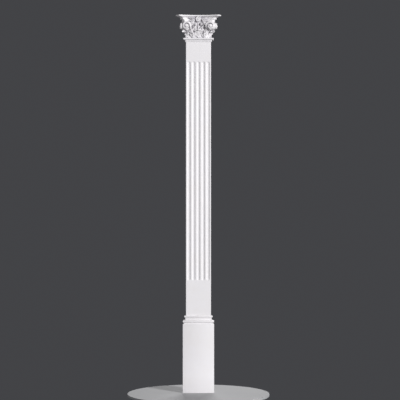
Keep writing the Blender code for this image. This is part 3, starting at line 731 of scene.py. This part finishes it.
# %% The band and the core behind it
CHANNEL, GAP_SHARE, EYE_SHARE = 0.0022, 0.0140 / 0.026, 0.27
CHANNEL_HALF, RIM_MIDDLE = 0.47, 0.7
half_across = [0.2, 0.36, CHANNEL_HALF, 0.58, RIM_MIDDLE, 0.84, 0.95, 1]
across = np.array([-u for u in reversed(half_across)] + [0, *half_across])
rim = np.sqrt(np.maximum(1 - ((np.abs(across) - RIM_MIDDLE) / (1 - RIM_MIDDLE)) ** 2, 0.0))
trough = np.sqrt(np.maximum(1 - (np.abs(across) / CHANNEL_HALF) ** 2, 0.0))
dips = np.where(np.abs(across) > CHANNEL_HALF, 0.62 * (1 - rim), 0.35 + 0.65 * trough)


def swell(distance, radius):
    """The round section of a scroll's face: 1 at the eye, 0 at the outer edge."""
    return np.sqrt(np.maximum(1 - (distance / radius) ** 2, 0.0))


def scroll(name, centre, radius, stem, depths, rear):
    points, band, climb = spiral(centre, radius * PATH, stem)
    ahead, behind = np.roll(points, -1, 0), np.roll(points, 1, 0)
    ahead[-1], behind[0] = points[-1], points[0]
    tangent = ahead - behind
    tangent /= np.linalg.norm(tangent, axis=1)[:, None]
    rings = []
    for (x, z), (tx, tz), width, share in zip(points, tangent, band * BAND, climb):
        groove = CHANNEL * width / (radius * BAND)
        sides = [(x - tz * u * width, z + tx * u * width) for u in across]
        level = mix(depths[0], depths[1], smooth(0, 1, share))
        ring = []
        for (px, pz), dip in zip(sides, dips):
            out = level + depths[2] * swell(math.hypot(px - centre[0], pz - centre[1]), radius * 1.02)
            ring.append((px, -(out - groove * dip), pz))
        ring += [(sides[-1][0], -rear, sides[-1][1]), (sides[0][0], -rear, sides[0][1])]
        rings.append(ring)
    return loft(name, rings)


def dome(name, centre, rings, count=40):
    """A round solid on an axis away from the wall, from (radius, distance from the wall)."""
    angles = 2 * np.pi * (np.arange(count) + 0.5) / count
    sections = []
    for reach, depth in rings:
        x, z = centre[0] + reach * np.cos(angles), centre[1] + reach * np.sin(angles)
        sections.append(np.stack([x, np.full(count, -depth), z], axis=1))
    return loft(name, sections)


def volute(name, centre, radius, stem, depths, rear, place):
    """A scroll, the core that closes its gap, and the eye. depths: stem, outer edge, swell."""
    edge, swelling = depths[1:]
    core = [(radius * PATH, rear)]
    for share in np.linspace(PATH, EYE_SHARE, 12):
        below = GAP_SHARE * radius * mix(0.3, 1.0, smooth(0.38, 0.5, share))
        core.append((radius * share, edge + swelling * swell(share, 1.0) - below))
    eye = edge + swelling * swell(EYE_SHARE, 1.0) - CHANNEL * 0.6
    core += [(radius * r, eye + CHANNEL * 1.3 * h) for r, h in arc((0, 0), (EYE_SHARE, 1.0), 0, 82, 9)]
    carve(scroll(name, centre, radius, stem, depths, rear), place)
    carve(dome(f"{name}_core", centre, core), place)


# %% Volutes and helices
VOLUTE_RADIUS, VOLUTE_X, VOLUTE_Z = 0.0308, 0.0708, 0.0920
VOLUTE_EDGE, VOLUTE_SWELL = 0.0515, 0.0125
SIDE_RADIUS, SIDE_EDGE, SIDE_SWELL = 0.0252, 0.0965, 0.0160
STEM_PROUD, HELIX_PROUD, HELIX_SWELL, ROOT = 0.006, 0.012, 0.005, 0.004
stem = (0.0465, LEAF_FOOT + 0.038)
depths = (bell_front(stem[1]) + STEM_PROUD, VOLUTE_EDGE, VOLUTE_SWELL)
volute("front_volute", (VOLUTE_X, VOLUTE_Z), VOLUTE_RADIUS, stem, depths, BELL_FRONT - ROOT, Matrix())
side_eye = (0.0370, 0.0890)
side_stem = (side_eye[0] - SIDE_RADIUS * 0.85, LEAF_FOOT + 0.020)
turned = Matrix.Rotation(math.radians(90), 4, "Z") @ MIRROR
depths = (BELL_HALF + 0.005, SIDE_EDGE, SIDE_SWELL)
volute("side_volute", side_eye, SIDE_RADIUS, side_stem, depths, BELL_HALF - ROOT, turned)
FLOWER_RADIUS, FLOWER_Z, HELIX_RADIUS = 0.0165, 0.1325, 0.0120
helix_eye = (-HELIX_RADIUS * 1.5, FLOWER_Z - FLOWER_RADIUS - HELIX_RADIUS * 0.95)
helix_stem = (-0.0350, LEAF_FOOT + 0.040)
depths = (bell_front(helix_stem[1]) + STEM_PROUD, bell_front(helix_eye[1]) + HELIX_PROUD, HELIX_SWELL)
volute("helix", helix_eye, HELIX_RADIUS, helix_stem, depths, BELL_FRONT - 0.003, MIRROR)
print("leaves and scrolls:", len(carved))

# %% [markdown]
# ## Fronds and the flower
#
# A flower sits in the middle of the abacus, where its bow is deepest, and a spray of pointed fronds
# spreads from it to either side. A frond is a small leaf: cupped, with a thin rib in a groove up the
# middle, toothed edges and a tip that lifts. The first of a spray lies nearly level and the last one
# hangs.


# %% A frond
def frond(name, length, width, thick, rear, teeth=5):
    v = np.linspace(0, 1, teeth * 8 + 1)[:, None]
    u = np.linspace(-1, 1, 21)[None, :]
    side = np.abs(u)
    swell = 0.35 + 0.65 * np.sin(np.pi / 2 * np.minimum(v / 0.62, 1.0))
    half = width / 2 * swell * np.sqrt(np.maximum(1 - np.maximum((v - 0.55) / 0.46, 0.0) ** 2, 0.01))
    tooth = np.abs(np.sin(np.pi * teeth * v)) ** 0.7
    x = u * half * mix(0.88, 1.0, tooth)
    cup = np.sin(np.pi * np.clip(side, 0, 1) ** 0.85) ** 0.8
    lift = 0.2 + 0.8 * cup + 0.3 * bump(0.0, 0.13, side) + 0 * v
    lift -= 0.16 * (1 - tooth) * smooth(0.25, 0.8, side)
    out = thick * (0.5 + 0.5 * np.sin(np.pi / 2 * np.minimum(v / 0.5, 1.0))) * (lift + 0.35 * v**2)
    z = length * v + 0.25 * half * side * (1 - v)
    front = np.stack(np.broadcast_arrays(x, -out, z), axis=-1)
    back = np.stack(np.broadcast_arrays(x, rear + 0 * out, z), axis=-1)
    return shell(name, front, back)


# %% Sprays and the flower's stalk
FROND_LENGTHS, FROND_WIDTH = (0.048, 0.050, 0.044, 0.034), 0.0125
for i, length in enumerate(FROND_LENGTHS):
    share = i / (len(FROND_LENGTHS) - 1)
    x = mix(FLOWER_RADIUS * 0.85, 0.024, share)
    z = FLOWER_Z + FLOWER_RADIUS * mix(0.10, -0.45, share)
    place = placed(x, -abacus_front(x) + 0.003, z, 10, mix(82, 150, share))
    carve(frond(f"frond_{i}", length, FROND_WIDTH, mix(0.0085, 0.0075, share), 0.016), place)
stalk_foot = LEAF_FOOT + 0.047
stalk = frond("stalk", FLOWER_Z - stalk_foot, FLOWER_RADIUS * 0.9, 0.006, 0.012, 7)
carve(stalk, placed(0.0, -bell_front(stalk_foot) - 0.007, stalk_foot), False)
print("shapes on the body:", len(carved))

# %% [markdown]
# The flower's petals repeat round its middle, so Geometry Nodes place them. The tree makes as many
# points as there are petals, puts a petal on each, turns it by its number, and sets every second
# petal a little further back so that neighbours overlap as real petals do.


# %% Petals as a Geometry Nodes rule
def petals_group():
    inputs = {"Petal": "NodeSocketObject", "Count": "NodeSocketInt"}
    inputs |= {"Set back": "NodeSocketFloat", "Turn": "NodeSocketFloat"}
    group, tree, wire = group_with("petals_in_a_ring", inputs)
    info = tree.tree.nodes.new("GeometryNodeObjectInfo")
    tree.tree.links.new(wire["Petal"].socket, info.inputs["Object"])
    petal = Wire(tree, info.outputs["Geometry"])
    index = tree.node("GeometryNodeInputIndex")
    odd = index.sum_with("MODULO", index, 2.0)
    back = tree.node("ShaderNodeCombineXYZ", {}, {"Y": odd * wire["Set back"]})
    points = tree.node("GeometryNodePoints", {}, {"Count": wire["Count"], "Position": back})
    angle = (index + 0.5) * (2 * math.pi) / wire["Count"] + wire["Turn"]
    turn = tree.node("ShaderNodeCombineXYZ", {}, {"Y": angle})
    values = {"Points": points, "Instance": petal, "Rotation": turn}
    ring = tree.node("GeometryNodeInstanceOnPoints", {}, values)
    both = tree.tree.nodes.new("GeometryNodeJoinGeometry")
    tree.tree.links.new(ring.socket, both.inputs[0])
    tree.tree.links.new(wire["Mesh"].socket, both.inputs[0])
    end_group(tree, Wire(tree, both.outputs[0]), foam["capital"])
    return group


PETALS, FLOWER_TURN = 6, 12
face = abacus_front(0.0)
petal_width = 2.2 * FLOWER_RADIUS * math.sin(math.pi / PETALS)
petal = add("petal", frond("petal", FLOWER_RADIUS, petal_width, 0.006, 0.018, 4))
boss_rings = [(0.4, -0.012), (0.4, 0.002), *arc((0.0, 0.002), (0.38, 0.006), 8, 84, 9)]
flower = add("flower", dome("flower", (0, 0), [(FLOWER_RADIUS * r, d) for r, d in boss_rings]))
petal_rule = {"Petal": petal, "Count": PETALS, "Set back": 0.0015, "Turn": math.radians(FLOWER_TURN)}
bake(flower, petals_group(), petal_rule)
flower.data.transform(placed(0.0, -face, FLOWER_Z))
bpy.data.objects.remove(petal, do_unlink=True)
print("flower:", len(flower.data.polygons), "faces")

# %% [markdown]
# ## One casting
#
# The union runs on all the carved shapes at once. The Manifold solver is quick and never leaves a
# hole, but it needs every shape closed, which the lofts and shells are. The flower left the Geometry
# Nodes as one mesh of petals that cross, so it is taken apart first. What would stick out of the
# casting's back is pressed in, just short of the wall.

# %% Melt the shapes together
def islands(mesh):
    """One closed mesh for each loose part, in the order of their first points."""
    bm = bmesh.new()
    bm.from_mesh(mesh)
    seen, found = set(), []
    for first in bm.verts:
        if first.index in seen:
            continue
        order, stack = {first.index: 0}, [first]
        while stack:
            for edge in stack.pop().link_edges:
                for vert in edge.verts:
                    if vert.index not in order:
                        order[vert.index] = len(order)
                        stack.append(vert)
        seen.update(order)
        points = [mesh.vertices[i].co for i in order]
        faces = [[order[i] for i in face.vertices] for face in mesh.polygons if face.vertices[0] in order]
        found.append(closed_mesh("petal_part", points, faces))
    bm.free()
    return found


CLEAR_OF_WALL = 0.0003
shapes = bpy.data.collections.new("carved_shapes")
bpy.context.scene.collection.children.link(shapes)
for mesh in carved + islands(flower.data):
    for vert in mesh.vertices:
        vert.co.y = min(vert.co.y, -CLEAR_OF_WALL)
    shapes.objects.link(bpy.data.objects.new(mesh.name, mesh))
bpy.data.objects.remove(flower, do_unlink=True)
capital = add("capital_casting", body)
union = capital.modifiers.new("union", "BOOLEAN")
union.operation, union.solver = "UNION", "MANIFOLD"
union.operand_type, union.collection = "COLLECTION", shapes
graph = bpy.context.evaluated_depsgraph_get()
joined = bpy.data.meshes.new_from_object(capital.evaluated_get(graph))
capital.modifiers.clear()
capital.data = joined
for obj in list(shapes.objects):
    bpy.data.objects.remove(obj, do_unlink=True)
bpy.data.collections.remove(shapes)
joined.transform(Matrix.Translation((0.0, 0.0, CAPITAL_FOOT)))
joined.shade_smooth()
joined.set_sharp_from_angle(angle=math.radians(38))
joined.materials.clear()
joined.materials.append(foam["capital"])
print("capital:", len(joined.polygons), "faces")

# %% [markdown]
# The hollows of the carved casting are painted greyer than its high parts, as painted shade.
# To know where those are, short straight lines are sent out from every point, and the share of them
# that meet the casting again is kept with the point. The finish reads it under the name `shelter`.


# %% How sheltered each point is
# The stored number sets how much painted shade the finish puts on each point.
def store_shelter(mesh, reach, count=22):
    tree = BVHTree.FromPolygons([v.co for v in mesh.vertices], [list(p.vertices) for p in mesh.polygons])
    turns = np.arange(count) * math.pi * (3 - math.sqrt(5))
    up = 1 - 2 * (np.arange(count) + 0.5) / count
    level = np.sqrt(1 - up * up)
    lines = np.stack([level * np.cos(turns), level * np.sin(turns), up], axis=1)
    normals = np.array([v.normal[:] for v in mesh.vertices])
    weights = np.maximum(normals @ lines.T - 0.1, 0.0)
    rays = [Vector(line) for line in lines]
    values = np.zeros(len(mesh.vertices))
    for vert, row in zip(mesh.vertices, weights):
        start = vert.co + vert.normal * 0.0003
        blocked = 0.0
        for i in np.flatnonzero(row):
            far = tree.ray_cast(start, rays[i], reach)[3]
            if far is not None:
                blocked += row[i] * (1 - 0.5 * far / reach)
        values[vert.index] = blocked / max(row.sum(), 0.001)
    kept = mesh.attributes.new("shelter", "FLOAT", "POINT")
    kept.data.foreach_set("value", values.astype(np.float32))
    return values


values = store_shelter(joined, 0.03)
print("sheltered points:", round(float((values > 0.5).mean()) * 100), "%")

# %% [markdown]
# ## Stage, light and camera
#
# A small pale disc stands for the floor under the base. The room is plain charcoal, as a white piece
# needs a darker ground to show its edge. One lamp high on the right does the modelling: it lights the
# left wall of every flute and leaves the right wall dark. Wide weak lamps open the shadows from the
# front and from every side, so that the piece can be looked at from anywhere.

# %% Floor
bm = bmesh.new()
bmesh.ops.create_cone(bm, cap_ends=True, segments=96, radius1=0.42, radius2=0.42, depth=0.012)
bmesh.ops.translate(bm, verts=bm.verts, vec=(0.0, -0.05, cad_low[2] - 0.006))
floor_mesh = bpy.data.meshes.new("floor_disc")
bm.to_mesh(floor_mesh)
bm.free()
floor = add("floor_disc", floor_mesh)
paint = bpy.data.materials.new("pale_floor")
paint.use_nodes = True
paint.node_tree.nodes["Principled BSDF"].inputs["Base Color"].default_value = (0.42, 0.42, 0.43, 1.0)
paint.node_tree.nodes["Principled BSDF"].inputs["Roughness"].default_value = 0.7
floor.data.materials.append(paint)
floor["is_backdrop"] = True


# %% Light
def lamp(name, place, target, width, height, power):
    """A soft rectangular lamp that looks at a point and isn't seen itself."""
    light = bpy.data.lights.new(name, "AREA")
    light.shape = "RECTANGLE"
    light.size, light.size_y, light.energy = width, height, power
    obj = bpy.data.objects.new(name, light)
    obj.location = place
    obj.rotation_euler = (Vector(target) - Vector(place)).to_track_quat("-Z", "Y").to_euler()
    obj.visible_camera = False
    bpy.context.scene.collection.objects.link(obj)


lamp("key", (8.0, -9.6, 3.4), (0.0, 0.0, -0.2), 1.4, 3.0, 1760)
lamp("front_fill", (0.4, -6.0, -1.4), (0.0, 0.0, -0.6), 2.4, 2.4, 54)
lamp("left_fill", (-5.0, 1.4, 0.6), (0.0, 0.0, 0.0), 2.0, 2.6, 40)
lamp("behind", (0.6, 4.4, 1.4), (0.0, 0.0, 0.0), 2.4, 2.4, 110)
bpy.context.scene.view_settings.view_transform = "Standard"
world = bpy.data.worlds.new("charcoal_room")
bpy.context.scene.world = world
world.use_nodes = True
world.node_tree.nodes["Background"].inputs["Color"].default_value = (0.056, 0.057, 0.062, 1.0)
world.node_tree.nodes["Background"].inputs["Strength"].default_value = 1.0

# %% [markdown]
# The photograph was taken square on, from about nine metres, level with the middle of the piece: the
# flutes don't converge and the horns of the capital only just rise over its middle. So the camera has
# a long lens. `METRES_ACROSS` is what the square picture covers at the wall.

# %% Camera
DISTANCE = 8.75
METRES_ACROSS = 2.381
camera_data = bpy.data.cameras.new("camera")
camera_data.sensor_width = 36.0
camera_data.lens = 36.0 * (DISTANCE - SHAFT_DEPTH) / METRES_ACROSS
camera_data.clip_end = 40.0
camera = bpy.data.objects.new("camera", camera_data)
camera.location = (0.0093, -DISTANCE, -0.1261)
camera.rotation_euler = (math.radians(90), 0.0, 0.0)
bpy.context.scene.collection.objects.link(camera)
bpy.context.scene.camera = camera
print("lens", round(camera_data.lens), "mm")

# %% [markdown]
# ## The castings take the imported solids' places
#
# Each casting rides on the model's single body, stands for its imported solid, and takes that solid's
# place.

# %% Ride, replace and finish
for piece, node in ((base, "base"), (shaft, "shaft"), (capital, "capital")):
    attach(piece, "root")
    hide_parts(node)
    triangles = sum(len(polygon.vertices) - 2 for polygon in piece.data.polygons)
    print(piece.name, triangles, "triangles")
